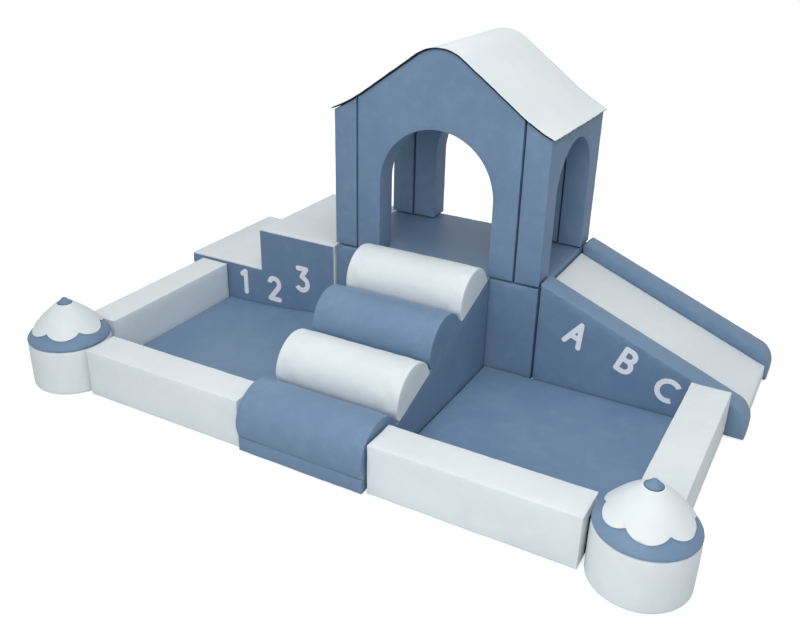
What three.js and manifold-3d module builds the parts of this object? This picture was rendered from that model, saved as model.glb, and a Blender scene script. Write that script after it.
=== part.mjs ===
// Soft play house: a foam platform that carries an arched house with a curved roof, with a block of steps
// on its left, a slide on its right, a roller climber in front, and two walled pits with floor mats and
// corner posts. Every module is a foam block in a sewn cover, held to the next by hook-and-loop strips.
// Millimetres, +Z up. The origin is the centre of the platform's underside; +X runs to the slide and +Y
// to the back.
import * as THREE from "three";
import { mergeVertices } from "three/addons/utils/BufferGeometryUtils.js";
import Module from "manifold-3d";

const wasm = await Module();
wasm.setup();

// Clearances, sewn edges and facets
const moduleGap = 4; // between two modules, where the hook-and-loop strips sit
const seatGap = 0.3; // between two pieces that touch
const sewnEdge = 8; // rounding along the edges of a foam block
const cornerShare = 1.4; // an outline's corner radius, as a share of the sewn edge
const overrun = 5; // how far a cutting tool runs past what it cuts
const weldReach = 0.001; // vertices closer than this are one
const edgeSteps = 2;
const cornerSteps = 3;
const arcSteps = 16;

// Platform
const platformWidth = 1180;
const platformDepth = 775;
const platformHeight = 525;

// House and roof, heights above the platform
const houseWall = 136;
const frontArchWidth = 622;
const frontArchSpring = 387;
const sideArchWidth = 492;
const sideArchSpring = 416;
const eaveCover = 80; // of the eave's top, above the crown of the side arches
const roofSheet = 12;
const roofCrownRadius = 220;
const roofFlareStart = 420; // half width at which the slope starts to flatten towards the eave
const roofPitch = THREE.MathUtils.degToRad(35.5);
const eavePitch = THREE.MathUtils.degToRad(24);
const eaveOverhang = 14;
const gableOverhang = 6;

// Steps
const lowTreadHeight = 264;
const highTreadDrop = 15; // of the high tread, below the platform's top
const stepsForward = 5; // how far the steps stand forward of the platform
const panelSkin = 2.5;
const panelBorder = 9;

// Slide
const slideProud = 8.5; // how far the slide stands out past the platform's front and back
const slideRailThickness = 144;
const bedDrop = 14; // of the bed's head, below the platform's top
const railRise = 56; // of the rails' tops, above the bed
const railToeHeight = 144;
const railHeadRadius = 45;
const railToeRadius = 115;
const bedSetback = 17; // how far the bed ends before the rails

// Climber
const climberWidth = 650;
const climberShift = 11; // of its middle, to the right of the platform's middle
const climberToeHeight = 75;
const climberHeadRise = 20; // of the slope's head, above the platform's top
const rollerCount = 4;
const rollerRise = 163;
const bareSlope = 28; // between the last roller and the top of the slope

// Pits
const pitWallLength = 920;
const pitWallWidth = 190;
const pitWallHeight = 250;
const pitWallSetback = 20; // of the front walls, behind the climber's toe
const outerSetback = 14; // of the steps' and the slide's ends, inside the posts' outer sides
const matThickness = 38;
const matClearance = 0.6; // beside the walls, the posts and the climber

// Corner posts
const postRadius = 200;
const drumInset = 0.5; // of the drum's side, inside the cone's rim
const drumHeight = 236;
const drumFoot = 14;
const coneHeight = 214;
const capThickness = 6;
const capLobes = 6;
const tipNose = 5;
const postFacets = 48;
const leftCapTurn = THREE.MathUtils.degToRad(-22);
const rightCapTurn = THREE.MathUtils.degToRad(12);
// The cone from the drum's rim to the foot of the tip: shares of the post's radius and the cone's height
const coneProfileShare = [
  [0.975, 0],
  [1, 0.03],
  [0.99, 0.075],
  [0.93, 0.14],
  [0.845, 0.215],
  [0.585, 0.495],
  [0.375, 0.668],
  [0.185, 0.818],
];
const capLobeShare = 0.845;
const capNotchShare = 0.75;

// Digits and letters sewn on the steps and the slide
const digitHeight = 155;
const digitStroke = 30;
const letterHeight = 140;
const letterStroke = 26;
const markSkin = 1.5;
// A digit's middle: shares of the steps' width from their left end, and of the low tread's height
const digitPlaceShare = { digit_1: [0.39, 0.592], digit_2: [0.594, 0.592], digit_3: [0.79, 0.991] };
// A letter's middle: shares of the slide's run, and of the rail's height at its head, below the rail's top
const letterPlaceShare = { letter_a: [0.2, 0.256], letter_b: [0.445, 0.206], letter_c: [0.647, 0.23] };

// Hook-and-loop strips
const stripWidth = 50;
const stripSkin = moduleGap - 2 * seatGap;
const stripInset = 40; // between a strip's end and the end of the face it is on

// Levels and faces worked out from the sizes above
const platformRight = platformWidth / 2;
const platformFront = -platformDepth / 2;
const platformBack = platformDepth / 2;
const houseFloor = platformHeight + moduleGap;
const panelHalfWidth = platformRight - houseWall - moduleGap;
const roofHalfWidth = platformRight + eaveOverhang;
const eaveTop = platformHeight + sideArchSpring + sideArchWidth / 2 + eaveCover;
const stepsFront = platformFront - stepsForward;
const slideFront = platformFront - slideProud;
const climberLeft = climberShift - climberWidth / 2;
const climberRight = climberShift + climberWidth / 2;
const wallToPost = moduleGap + pitWallLength + moduleGap + postRadius;
const leftPost = { x: climberLeft - wallToPost, y: stepsFront - wallToPost };
const rightPost = { x: climberRight + wallToPost, y: slideFront - wallToPost };
const frontWallFront = (leftPost.y + rightPost.y - pitWallWidth) / 2;
const frontWallBack = frontWallFront + pitWallWidth;
const climberFront = frontWallFront - pitWallSetback;
const climberBack = platformFront - moduleGap;
const climberHeadHeight = platformHeight + climberHeadRise;
const climberPitch = Math.atan2(climberHeadHeight - climberToeHeight, climberBack - climberFront);
const slopeLength = (climberBack - climberFront) / Math.cos(climberPitch);
const rollerChord = (slopeLength - bareSlope) / rollerCount - seatGap;
const stepsRight = -platformRight - moduleGap;
const stepsLeft = leftPost.x - postRadius + outerSetback;
const stepsMiddle = (stepsLeft + stepsRight) / 2;
const highTreadHeight = platformHeight - highTreadDrop;
const slideLeft = platformRight + moduleGap;
const slideRight = rightPost.x + postRadius - outerSetback;
const bedHeadHeight = platformHeight - bedDrop;
const railHeadHeight = bedHeadHeight + railRise;
const railSlope = (railHeadHeight - railToeHeight) / (slideRight - slideLeft);
const outlineCorner = sewnEdge * cornerShare;
const drumRadius = postRadius - drumInset;
const matBackGap = markSkin + 2 * seatGap; // so that a mat clears the digits and letters as it is lifted

// Finishes
const vinylBlue = new THREE.MeshStandardMaterial({ color: 0x5d7699, roughness: 0.5, metalness: 0 });
const vinylWhite = new THREE.MeshStandardMaterial({ color: 0xe4e8ea, roughness: 0.5, metalness: 0 });
const gripTape = new THREE.MeshStandardMaterial({ color: 0x2e3440, roughness: 0.95, metalness: 0 });

const playHouse = new THREE.Group();

function addPiece(name, geometry, material) {
  const mesh = new THREE.Mesh(geometry, material);
  mesh.name = name;
  playHouse.add(mesh);
}

// A geometry as a closed solid with shared vertices, and back
function toSolid(geometry) {
  const bare = geometry.clone();
  bare.deleteAttribute("normal");
  bare.deleteAttribute("uv");
  const merged = mergeVertices(bare, weldReach);
  return new wasm.Manifold(
    new wasm.Mesh({
      numProp: 3,
      vertProperties: new Float32Array(merged.attributes.position.array),
      triVerts: new Uint32Array(merged.index.array),
    }),
  );
}

function toGeometry(solid) {
  const mesh = solid.getMesh();
  const geometry = new THREE.BufferGeometry();
  geometry.setAttribute("position", new THREE.BufferAttribute(mesh.vertProperties, mesh.numProp));
  geometry.setIndex(new THREE.BufferAttribute(mesh.triVerts, 1));
  return geometry;
}

function cut(geometry, tool) {
  return toGeometry(toSolid(geometry).subtract(toSolid(tool)));
}

function join(geometries) {
  return toGeometry(geometries.map(toSolid).reduce((all, next) => all.add(next)));
}

// An outline of [u, v, radius] corners, with each corner that has a radius made round
function roundCorners(corners) {
  const outline = [];
  corners.forEach(([u, v, radius = 0], i) => {
    const here = new THREE.Vector2(u, v);
    if (radius === 0) {
      outline.push(here);
      return;
    }
    const [beforeU, beforeV] = corners.at(i - 1);
    const [afterU, afterV] = corners[(i + 1) % corners.length];
    const toBefore = new THREE.Vector2(beforeU, beforeV).sub(here).normalize();
    const toAfter = new THREE.Vector2(afterU, afterV).sub(here).normalize();
    const halfAngle = Math.acos(THREE.MathUtils.clamp(toBefore.dot(toAfter), -1, 1)) / 2;
    const centre = toBefore.clone().add(toAfter).normalize();
    centre.multiplyScalar(radius / Math.sin(halfAngle)).add(here);
    const start = here.clone().addScaledVector(toBefore, radius / Math.tan(halfAngle)).sub(centre);
    const end = here.clone().addScaledVector(toAfter, radius / Math.tan(halfAngle)).sub(centre);
    const sweepAngle = Math.atan2(start.cross(end), start.dot(end));
    const steps = Math.max(cornerSteps, Math.ceil((arcSteps * Math.abs(sweepAngle)) / Math.PI / 2));
    for (let k = 0; k <= steps; k += 1) {
      const point = start.clone().rotateAround(new THREE.Vector2(), (sweepAngle * k) / steps);
      outline.push(point.add(centre));
    }
  });
  return outline;
}

// The solid of an outline swept along one axis between two places. The outline's points are (y, z) for
// axis x, (x, z) for axis y and (x, y) for axis z. Its end edges are rounded by edge.
function sweep(outline, axis, from, to, edge = sewnEdge) {
  const geometry = new THREE.ExtrudeGeometry(new THREE.Shape(outline), {
    depth: to - from - 2 * edge,
    bevelEnabled: edge > 0,
    bevelThickness: edge,
    bevelSize: edge,
    bevelOffset: -edge,
    bevelSegments: edgeSteps,
    curveSegments: 1,
  });
  geometry.translate(0, 0, edge);
  if (axis === "x") {
    geometry.applyMatrix4(new THREE.Matrix4().set(0, 0, 1, from, 1, 0, 0, 0, 0, 1, 0, 0, 0, 0, 0, 1));
  } else if (axis === "y") {
    geometry.rotateX(Math.PI / 2);
    geometry.translate(0, to, 0);
  } else {
    geometry.translate(0, 0, from);
  }
  return geometry;
}

function box(left, right, front, back, bottom, top, edge = sewnEdge) {
  const corner = edge * cornerShare;
  const outline = roundCorners([
    [left, front, corner],
    [right, front, corner],
    [right, back, corner],
    [left, back, corner],
  ]);
  return sweep(outline, "z", bottom, top, edge);
}

// A hook-and-loop strip: a thin pad whose thickness fills a module gap along one axis
function addStrip(name, axis, gapStart, [aFrom, aTo], [bFrom, bTo]) {
  const [from, to] = [gapStart + seatGap, gapStart + seatGap + stripSkin];
  const outline = [
    new THREE.Vector2(aFrom, bFrom),
    new THREE.Vector2(aTo, bFrom),
    new THREE.Vector2(aTo, bTo),
    new THREE.Vector2(aFrom, bTo),
  ];
  addPiece(name, sweep(outline, axis, from, to, 0), gripTape);
}

// A span of a strip's width about a middle
function stripSpan(middle) {
  return [middle - stripWidth / 2, middle + stripWidth / 2];
}

// Roof line: a round crown, a straight slope and an eave that flattens out. depth is measured square to
// the sheet's top, so the same arcs give its underside and the tops of the walls.
const flareRadius = (roofHalfWidth - roofFlareStart) / (Math.sin(roofPitch) - Math.sin(eavePitch));
const flareCentre = {
  x: roofFlareStart + flareRadius * Math.sin(roofPitch),
  z: eaveTop + flareRadius * Math.cos(eavePitch),
};
const slopeRun = roofFlareStart - roofCrownRadius * Math.sin(roofPitch);
const slopeTop = flareCentre.z - flareRadius * Math.cos(roofPitch) + slopeRun * Math.tan(roofPitch);
const crownCentreZ = slopeTop - roofCrownRadius * Math.cos(roofPitch);

// Half of the roof line from the ridge out to the eave
function roofHalfLine(depth) {
  const line = [];
  const crown = roofCrownRadius - depth;
  const flare = flareRadius + depth;
  for (let k = 0; k <= arcSteps / 2; k += 1) {
    const angle = (roofPitch * k) / (arcSteps / 2);
    line.push(new THREE.Vector2(crown * Math.sin(angle), crownCentreZ + crown * Math.cos(angle)));
  }
  for (let k = 0; k <= arcSteps / 2; k += 1) {
    const angle = roofPitch + ((eavePitch - roofPitch) * k) / (arcSteps / 2);
    line.push(
      new THREE.Vector2(flareCentre.x - flare * Math.sin(angle), flareCentre.z - flare * Math.cos(angle)),
    );
  }
  return line;
}

// The whole roof line between two places across the house, from right to left
function roofLine(depth, left, right) {
  const half = roofHalfLine(depth);
  const mirrored = half.map((point) => new THREE.Vector2(-point.x, point.y));
  const line = [...half.toReversed(), ...mirrored.slice(1)];
  const heightAt = (x) => {
    const i = line.findIndex((point) => point.x <= x);
    const [outer, inner] = [line[i - 1], line[i]];
    const share = (outer.x - x) / (outer.x - inner.x);
    return outer.y + (inner.y - outer.y) * share;
  };
  const between = line.filter((point) => point.x < right - sewnEdge && point.x > left + sewnEdge);
  return [
    new THREE.Vector2(right, heightAt(right)),
    ...between,
    new THREE.Vector2(left, heightAt(left)),
  ];
}

// The upper half of an arched opening, from one springing to the other over its crown
function archCurve(middle, spring, width, direction) {
  const points = [];
  for (let k = 0; k <= arcSteps; k += 1) {
    const angle = (Math.PI * k) / arcSteps;
    const across = direction * (width / 2) * Math.cos(angle);
    points.push(new THREE.Vector2(middle + across, spring + (width / 2) * Math.sin(angle)));
  }
  return points;
}

function addPlatform() {
  const block = box(-platformRight, platformRight, platformFront, platformBack, 0, platformHeight);
  addPiece("platform_block", block, vinylBlue);
}

// A gable panel between the side walls, with its arch down to the floor
function gablePanel(front) {
  const spring = platformHeight + frontArchSpring;
  const outline = [
    new THREE.Vector2(-panelHalfWidth, houseFloor),
    new THREE.Vector2(-frontArchWidth / 2, houseFloor),
    ...archCurve(0, spring, frontArchWidth, -1),
    new THREE.Vector2(frontArchWidth / 2, houseFloor),
    new THREE.Vector2(panelHalfWidth, houseFloor),
    ...roofLine(roofSheet + seatGap, -panelHalfWidth, panelHalfWidth),
  ];
  return sweep(outline, "y", front, front + houseWall);
}

// A side wall over the whole depth, with its top cut to the roof line and its own arch
function sideWall(side) {
  const inner = platformRight - houseWall;
  const top = roofLine(roofSheet + seatGap, inner, platformRight);
  const rightOutline = [
    new THREE.Vector2(inner, houseFloor),
    new THREE.Vector2(platformRight, houseFloor),
    ...top,
  ];
  const outline =
    side > 0 ? rightOutline : rightOutline.map((point) => new THREE.Vector2(-point.x, point.y)).reverse();
  const wall = sweep(outline, "y", platformFront, platformBack);
  const arch = [
    new THREE.Vector2(sideArchWidth / 2, houseFloor - overrun),
    ...archCurve(0, platformHeight + sideArchSpring, sideArchWidth, 1),
    new THREE.Vector2(-sideArchWidth / 2, houseFloor - overrun),
  ];
  const [near, far] = side > 0 ? [inner, platformRight] : [-platformRight, -inner];
  return cut(wall, sweep(arch, "x", near - overrun, far + overrun, 0));
}

function addHouse() {
  addPiece("house_front_panel", gablePanel(platformFront), vinylBlue);
  addPiece("house_rear_panel", gablePanel(platformBack - houseWall), vinylBlue);
  addPiece("house_left_wall", sideWall(-1), vinylBlue);
  addPiece("house_right_wall", sideWall(1), vinylBlue);
}

function addRoof() {
  const outline = [
    ...roofHalfLine(0).toReversed(),
    ...roofHalfLine(0).slice(1).map((point) => new THREE.Vector2(-point.x, point.y)),
    ...roofHalfLine(roofSheet).toReversed().map((point) => new THREE.Vector2(-point.x, point.y)),
    ...roofHalfLine(roofSheet).slice(1),
  ];
  const sheet = sweep(outline, "y", platformFront - gableOverhang, platformBack + gableOverhang, 0);
  addPiece("roof_sheet", sheet, vinylWhite);
}

// The steps: a white block with a blue panel sewn on its front
function stepsOutline(inset) {
  const corner = inset > 0 ? outlineCorner - inset / 2 : outlineCorner;
  return roundCorners([
    [stepsLeft + inset, inset, corner],
    [stepsRight - inset, inset, corner],
    [stepsRight - inset, highTreadHeight - inset, corner],
    [stepsMiddle + inset, highTreadHeight - inset, corner],
    [stepsMiddle + inset, lowTreadHeight - inset, corner],
    [stepsLeft + inset, lowTreadHeight - inset, corner],
  ]);
}

function addSteps() {
  const blockFront = stepsFront + panelSkin + seatGap;
  addPiece("steps_block", sweep(stepsOutline(0), "y", blockFront, platformBack), vinylWhite);
  const panel = sweep(stepsOutline(panelBorder), "y", stepsFront, stepsFront + panelSkin, 0);
  addPiece("steps_front_panel", panel, vinylBlue);
}

function railTopAt(x) {
  return railHeadHeight - (x - slideLeft) * railSlope;
}

function addSlide() {
  const railOutline = roundCorners([
    [slideLeft, 0, outlineCorner],
    [slideRight, 0, outlineCorner],
    [slideRight, railToeHeight, railToeRadius],
    [slideLeft, railHeadHeight, railHeadRadius],
  ]);
  const bedEnd = slideRight - bedSetback;
  const bedOutline = roundCorners([
    [slideLeft, 0, outlineCorner],
    [bedEnd, 0, outlineCorner],
    [bedEnd, railTopAt(bedEnd) - railRise, outlineCorner],
    [slideLeft, bedHeadHeight, outlineCorner],
  ]);
  const frontRailBack = slideFront + slideRailThickness;
  const rearRailFront = -frontRailBack;
  addPiece("slide_front_rail", sweep(railOutline, "y", slideFront, frontRailBack), vinylBlue);
  addPiece("slide_rear_rail", sweep(railOutline, "y", rearRailFront, -slideFront), vinylBlue);
  const bed = sweep(bedOutline, "y", frontRailBack + seatGap, rearRailFront - seatGap);
  addPiece("slide_bed", bed, vinylWhite);
}

// The climber: a wedge with half-round rollers side by side up its slope
function addClimber() {
  const wedgeOutline = roundCorners([
    [climberFront, 0, outlineCorner],
    [climberBack, 0, outlineCorner],
    [climberBack, climberHeadHeight, outlineCorner],
    [climberFront, climberToeHeight, outlineCorner],
  ]);
  addPiece("climb_wedge", sweep(wedgeOutline, "x", climberLeft, climberRight), vinylBlue);
  for (let i = 0; i < rollerCount; i += 1) {
    const start = i * (rollerChord + seatGap);
    const outline = [];
    for (let k = 0; k <= arcSteps; k += 1) {
      const angle = (Math.PI * k) / arcSteps;
      const along = start + (rollerChord / 2) * (1 + Math.cos(angle));
      const above = seatGap + rollerRise * Math.sin(angle);
      const onSlope = new THREE.Vector2(along, above).rotateAround(new THREE.Vector2(), climberPitch);
      outline.push(onSlope.add(new THREE.Vector2(climberFront, climberToeHeight)));
    }
    const roller = sweep(outline, "x", climberLeft, climberRight);
    addPiece(`climb_roller_${i + 1}`, roller, i % 2 === 0 ? vinylBlue : vinylWhite);
  }
}

// The pits' low walls, each named by the edge of the set that it closes
const sideWallBack = { left: stepsFront - moduleGap, right: slideFront - moduleGap };

function addPitWalls() {
  const half = pitWallWidth / 2;
  const sides = [
    ["pit_wall_left", leftPost.x, sideWallBack.left],
    ["pit_wall_right", rightPost.x, sideWallBack.right],
  ];
  sides.forEach(([name, middle, back]) => {
    const wall = box(middle - half, middle + half, back - pitWallLength, back, 0, pitWallHeight);
    addPiece(name, wall, vinylWhite);
  });
  const fronts = [
    ["pit_wall_front_left", climberLeft - moduleGap - pitWallLength],
    ["pit_wall_front_right", climberRight + moduleGap],
  ];
  fronts.forEach(([name, left]) => {
    const wall = box(left, left + pitWallLength, frontWallFront, frontWallBack, 0, pitWallHeight);
    addPiece(name, wall, vinylWhite);
  });
}

// A floor mat whose outer front corner is cut off to pass the post
function floorMat(post, innerX, back) {
  const side = Math.sign(post.x);
  const outerX = post.x - side * (pitWallWidth / 2 + matClearance);
  const front = frontWallBack + matClearance;
  const cutReach = (postRadius + matClearance) * Math.SQRT2; // along x plus along y, from the post's middle
  const outline = [
    new THREE.Vector2(innerX, front),
    new THREE.Vector2(innerX, back),
    new THREE.Vector2(outerX, back),
    new THREE.Vector2(outerX, post.y + cutReach - side * (post.x - outerX)),
    new THREE.Vector2(post.x - side * (cutReach - (front - post.y)), front),
  ];
  return sweep(side > 0 ? outline : outline.reverse(), "z", 0, matThickness, sewnEdge / 2);
}

function addMats() {
  const left = floorMat(leftPost, climberLeft - matClearance, stepsFront - matBackGap);
  const right = floorMat(rightPost, climberRight + matClearance, slideFront - matBackGap);
  addPiece("floor_mat_left", left, vinylBlue);
  addPiece("floor_mat_right", right, vinylBlue);
}

// Corner posts: a drum, a cone with a scalloped cap over it, and a tip like a pencil's point
function turned(profile) {
  const points = profile.map(([radius, height]) => new THREE.Vector2(radius, height));
  return new THREE.LatheGeometry(points, postFacets).rotateX(Math.PI / 2);
}

const coneFoot = drumHeight + seatGap;
const coneProfile = coneProfileShare.map(([radiusShare, heightShare]) => [
  radiusShare * postRadius,
  coneFoot + heightShare * coneHeight,
]);
const [tipFootRadius, tipFoot] = coneProfile.at(-1);

function coneTopAt(radius) {
  const i = coneProfile.findIndex((point, k) => k > 1 && point[0] <= radius);
  const [[outerRadius, outerZ], [innerRadius, innerZ]] = [coneProfile[i - 1], coneProfile[i]];
  return outerZ + ((innerZ - outerZ) * (outerRadius - radius)) / (outerRadius - innerRadius);
}

function scallopedCap(turn) {
  const lift = 2 * seatGap;
  const top = tipFootRadius + capThickness / 2;
  const notch = capNotchShare * postRadius;
  const fixedRadii = coneProfile.map(([radius]) => radius).filter((r) => r > top && r < notch);
  const positions = [];
  const rows = 2 * (fixedRadii.length + 2);
  for (let i = 0; i < postFacets; i += 1) {
    const angle = (2 * Math.PI * i) / postFacets;
    const lobe = Math.abs(Math.sin((capLobes / 2) * (angle - Math.PI / 2 - turn)));
    const edgeShare = capNotchShare + (capLobeShare - capNotchShare) * Math.sqrt(lobe);
    const radii = [top, ...fixedRadii.toReversed(), edgeShare * postRadius];
    const inner = radii.map((r) => [r, coneTopAt(r) + lift]);
    const outer = inner.map(([r, z]) => [r, z + capThickness]).reverse();
    [...inner, ...outer].forEach(([r, z]) => {
      positions.push(r * Math.sin(angle), -r * Math.cos(angle), z);
    });
  }
  const faces = [];
  for (let i = 0; i < postFacets; i += 1) {
    for (let k = 0; k < rows; k += 1) {
      const [a, b] = [i * rows + k, i * rows + ((k + 1) % rows)];
      const [c, d] = [((i + 1) % postFacets) * rows + k, ((i + 1) % postFacets) * rows + ((k + 1) % rows)];
      faces.push(a, c, b, b, c, d);
    }
  }
  const cap = new THREE.BufferGeometry();
  cap.setAttribute("position", new THREE.Float32BufferAttribute(positions, 3));
  cap.setIndex(faces);
  return cap;
}

function addPost(side, post, turn) {
  const drum = [
    [0, 0],
    [drumRadius - drumFoot, 0],
    [drumRadius - drumFoot / 4, drumFoot / 4],
    [drumRadius, drumFoot],
    [drumRadius, drumHeight],
    [0, drumHeight],
  ];
  const cone = [[0, coneFoot], ...coneProfile, [0, tipFoot]];
  const tipBottom = tipFoot + seatGap;
  const tipTop = coneFoot + coneHeight;
  const tip = [
    [0, tipBottom],
    [tipFootRadius, tipBottom],
    [tipFootRadius, tipBottom + tipNose],
    [tipNose, tipTop - tipNose / 2],
    [0, tipTop],
  ];
  const pieces = [
    ["drum", turned(drum), vinylWhite],
    ["cone", turned(cone), vinylBlue],
    ["cap", scallopedCap(turn), vinylWhite],
    ["tip", turned(tip), vinylBlue],
  ];
  pieces.forEach(([part, geometry, material]) => {
    addPiece(`${side}_post_${part}`, geometry.translate(post.x, post.y, 0), material);
  });
}

// Digits and letters, drawn with round-ended strokes about their own middle. A stroke's points are
// shares of the character's height.
function barStroke([startU, startV], [endU, endV], height, width) {
  const start = new THREE.Vector2(startU, startV).multiplyScalar(height);
  const end = new THREE.Vector2(endU, endV).multiplyScalar(height);
  const heading = end.clone().sub(start).angle();
  const outline = [];
  [[end, -Math.PI / 2], [start, Math.PI / 2]].forEach(([centre, from]) => {
    for (let k = 0; k <= arcSteps / 2; k += 1) {
      const angle = heading + from + (Math.PI * k) / (arcSteps / 2);
      outline.push(new THREE.Vector2(Math.cos(angle), Math.sin(angle)).multiplyScalar(width / 2).add(centre));
    }
  });
  return outline;
}

function arcStroke([centreU, centreV], radiusShare, fromDegrees, toDegrees, height, width) {
  const centre = new THREE.Vector2(centreU, centreV).multiplyScalar(height);
  const radius = radiusShare * height;
  const [from, to] = [THREE.MathUtils.degToRad(fromDegrees), THREE.MathUtils.degToRad(toDegrees)];
  const outline = [];
  const ring = (ringRadius, angle) =>
    outline.push(new THREE.Vector2(Math.cos(angle), Math.sin(angle)).multiplyScalar(ringRadius).add(centre));
  for (let k = 0; k <= arcSteps; k += 1) ring(radius + width / 2, from + ((to - from) * k) / arcSteps);
  for (let k = arcSteps; k >= 0; k -= 1) ring(radius - width / 2, from + ((to - from) * k) / arcSteps);
  return outline;
}

// The middle line of each character: bars from point to point, and arcs by centre, radius and angles
const characterShares = {
  digit_1: { bars: [[[0.02, -0.42], [0.02, 0.42]], [[0.02, 0.42], [-0.14, 0.3]]], arcs: [] },
  digit_2: {
    bars: [[[0.19, 0.08], [-0.2, -0.42]], [[-0.2, -0.42], [0.22, -0.42]]],
    arcs: [[[0, 0.2], 0.22, -32, 175]],
  },
  digit_3: {
    bars: [[[-0.2, 0.42], [0.16, 0.42]], [[0.16, 0.42], [-0.04, 0.1]]],
    arcs: [[[-0.04, -0.18], 0.25, -150, 90]],
  },
  letter_a: {
    bars: [[[-0.28, -0.42], [0, 0.42]], [[0, 0.42], [0.28, -0.42]], [[-0.17, -0.12], [0.17, -0.12]]],
    arcs: [],
  },
  letter_b: {
    bars: [
      [[-0.2, -0.42], [-0.2, 0.42]],
      [[-0.2, 0.42], [0, 0.42]],
      [[-0.2, 0.02], [0.02, 0.02]],
      [[-0.2, -0.42], [0.02, -0.42]],
    ],
    arcs: [[[0, 0.22], 0.2, -90, 90], [[0.02, -0.2], 0.22, -90, 90]],
  },
  letter_c: { bars: [], arcs: [[[0, 0], 0.38, 50, 310]] },
};

function addCharacter(name, x, z, front, height, stroke, tilt) {
  const { bars, arcs } = characterShares[name];
  const outlines = [
    ...bars.map(([start, end]) => barStroke(start, end, height, stroke)),
    ...arcs.map(([centre, radius, from, to]) => arcStroke(centre, radius, from, to, height, stroke)),
  ];
  const place = new THREE.Vector2(x, z);
  const strokes = outlines.map((outline) => {
    const placed = outline.map((point) => point.rotateAround(new THREE.Vector2(), tilt).add(place));
    return sweep(placed, "y", front - seatGap - markSkin, front - seatGap, 0);
  });
  addPiece(name, join(strokes), vinylWhite);
}

function addCharacters() {
  Object.entries(digitPlaceShare).forEach(([name, [acrossShare, heightShare]]) => {
    const x = stepsLeft + acrossShare * (stepsRight - stepsLeft);
    addCharacter(name, x, heightShare * lowTreadHeight, stepsFront, digitHeight, digitStroke, 0);
  });
  const tilt = -Math.atan(railSlope);
  Object.entries(letterPlaceShare).forEach(([name, [runShare, dropShare]]) => {
    const x = slideLeft + runShare * (slideRight - slideLeft);
    const z = railTopAt(x) - dropShare * railHeadHeight;
    addCharacter(name, x, z, slideFront, letterHeight, letterStroke, tilt);
  });
}

// Strips under the feet of the house walls, on the platform
function addHouseStrips() {
  const frontFoot = (panelHalfWidth + frontArchWidth / 2) / 2;
  const sideFoot = (platformBack + sideArchWidth / 2) / 2;
  const wallMiddle = platformRight - houseWall / 2;
  const panelMiddle = platformBack - houseWall / 2;
  const frontFootHalf = (panelHalfWidth - frontArchWidth / 2) / 2 - sewnEdge;
  [-1, 1].forEach((side) => {
    const sideName = side < 0 ? "left" : "right";
    [-1, 1].forEach((end) => {
      const endName = end < 0 ? "front" : "rear";
      const panelX = side * frontFoot;
      addStrip(
        `strip_${endName}_panel_${sideName}_foot`,
        "z",
        platformHeight,
        [panelX - frontFootHalf, panelX + frontFootHalf],
        stripSpan(end * panelMiddle),
      );
      addStrip(
        `strip_${sideName}_wall_${endName}_foot`,
        "z",
        platformHeight,
        stripSpan(side * wallMiddle),
        stripSpan(end * sideFoot),
      );
      const gapStart = side < 0 ? -panelHalfWidth - moduleGap : panelHalfWidth;
      addStrip(
        `strip_${endName}_panel_${sideName}_side`,
        "x",
        gapStart,
        stripSpan(end * panelMiddle),
        [houseFloor + stripInset, houseFloor + sideArchSpring],
      );
    });
  });
}

// Strips between the platform and the modules against it, and between the pit walls and their neighbours
function addModuleStrips() {
  const lowHeights = [stripInset, pitWallHeight - stripInset];
  const depthSpan = [platformFront + stripInset, platformBack - stripInset];
  addStrip("strip_platform_steps", "x", stepsRight, depthSpan, stripSpan(lowTreadHeight));
  addStrip("strip_platform_slide", "x", platformRight, depthSpan, stripSpan(lowTreadHeight));
  const widthSpan = [climberLeft + stripInset, climberRight - stripInset];
  addStrip("strip_platform_climber", "y", climberBack, widthSpan, stripSpan(lowTreadHeight));
  const frontMiddle = (frontWallFront + frontWallBack) / 2;
  const ends = [
    ["strip_front_left_wall_climber", climberLeft - moduleGap, frontMiddle],
    ["strip_front_right_wall_climber", climberRight, frontMiddle],
    ["strip_front_left_wall_post", leftPost.x + postRadius, leftPost.y],
    ["strip_front_right_wall_post", rightPost.x - postRadius - moduleGap, rightPost.y],
  ];
  ends.forEach(([name, gapStart, middle]) => {
    const heights = name.endsWith("post") ? lowHeights : stripSpan(stripInset);
    addStrip(name, "x", gapStart, stripSpan(middle), heights);
  });
  const wallEnds = [
    ["strip_left_wall_steps", leftPost.x, sideWallBack.left, lowHeights],
    ["strip_right_wall_slide", rightPost.x, sideWallBack.right, stripSpan(railToeHeight)],
    ["strip_left_wall_post", leftPost.x, leftPost.y + postRadius, lowHeights],
    ["strip_right_wall_post", rightPost.x, rightPost.y + postRadius, lowHeights],
  ];
  wallEnds.forEach(([name, middle, gapStart, heights]) => {
    addStrip(name, "y", gapStart, stripSpan(middle), heights);
  });
}

addPlatform();
addHouse();
addRoof();
addSteps();
addSlide();
addClimber();
addPitWalls();
addMats();
addPost("left", leftPost, leftCapTurn);
addPost("right", rightPost, rightCapTurn);
addCharacters();
addHouseStrips();
addModuleStrips();

export default playHouse;
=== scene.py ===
"""The looks of the soft play house: foam blocks in sewn vinyl covers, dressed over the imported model.
Metres, +Z up. A cover is a block shaped by hand, with its sewn edges rounded, its panels cut into a
grid, blown up a little between the seams and then given its seams' pull and creases."""

import math
from contextlib import contextmanager

import bmesh
import bpy
import numpy as np
from mathutils import Matrix, Vector, noise
from mathutils.kdtree import KDTree


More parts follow.
